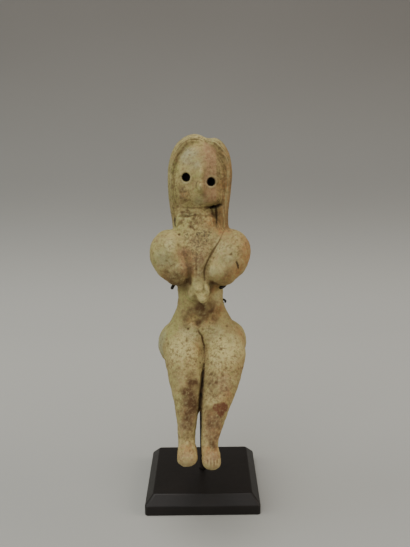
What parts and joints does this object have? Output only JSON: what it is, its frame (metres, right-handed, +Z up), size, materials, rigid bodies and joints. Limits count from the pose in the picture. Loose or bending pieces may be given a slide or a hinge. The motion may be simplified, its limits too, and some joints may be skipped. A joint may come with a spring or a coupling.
{
  "type": "seated female figurine on a display stand",
  "caption": "Seated clay woman with parted hair rolls and joined tapering legs, held over a bevelled wooden block by a bent rod with a wire cradle.",
  "frame": {"origin": "centre of the block's underside, under the foot of the rod", "axes": "+Z up, -Y the way the figure faces, +X to the right of a viewer in front"},
  "size_m": [0.045, 0.065, 0.1448],
  "materials": {
    "fired_clay": "pale buff fired clay, unglazed, worn, with earthy stains",
    "blackened_wood": "black lacquered wood with a soft sheen",
    "blackened_steel": "black, satin"
  },
  "bodies": {
    "root": {"figurine": "fired_clay", "base_block": "blackened_wood", "support_rod": "blackened_steel"}
  },
  "joints": []
}
